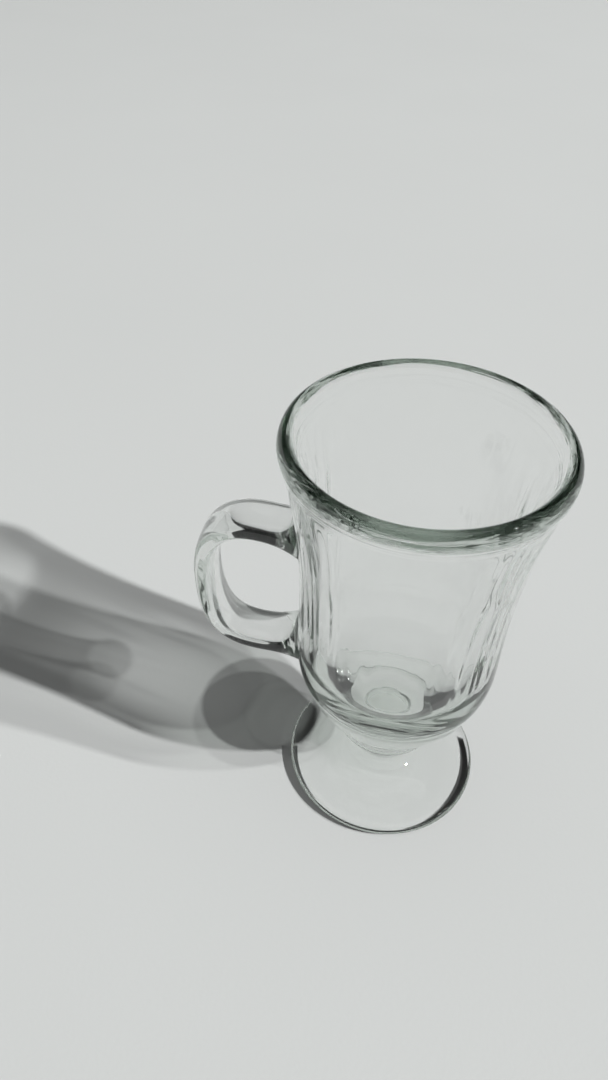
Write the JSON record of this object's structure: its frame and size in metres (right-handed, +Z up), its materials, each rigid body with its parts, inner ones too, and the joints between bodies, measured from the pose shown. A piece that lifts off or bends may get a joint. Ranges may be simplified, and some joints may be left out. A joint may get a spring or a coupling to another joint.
{
  "type": "footed glass coffee mug",
  "caption": "Clear glass coffee mug with a flared bell-shaped bowl, rounded lip, short waisted stem, flat round foot and a C-shaped strap handle.",
  "frame": {"origin": "on the mug's axis, in the flat underside of the foot, on the surface that the mug stands on", "axes": "+Z up along the mug's axis, -X from the axis towards the handle, and +Y level across the mug, completing the right-handed frame"},
  "size_m": [0.1034, 0.0774, 0.146],
  "materials": {
    "clear_glass": "clear soda-lime glass with a faint green tint, fire-polished"
  },
  "bodies": {
    "root": {"bowl": "clear_glass", "stem_collar": "clear_glass", "stem": "clear_glass", "foot": "clear_glass", "handle": "clear_glass"}
  },
  "joints": []
}
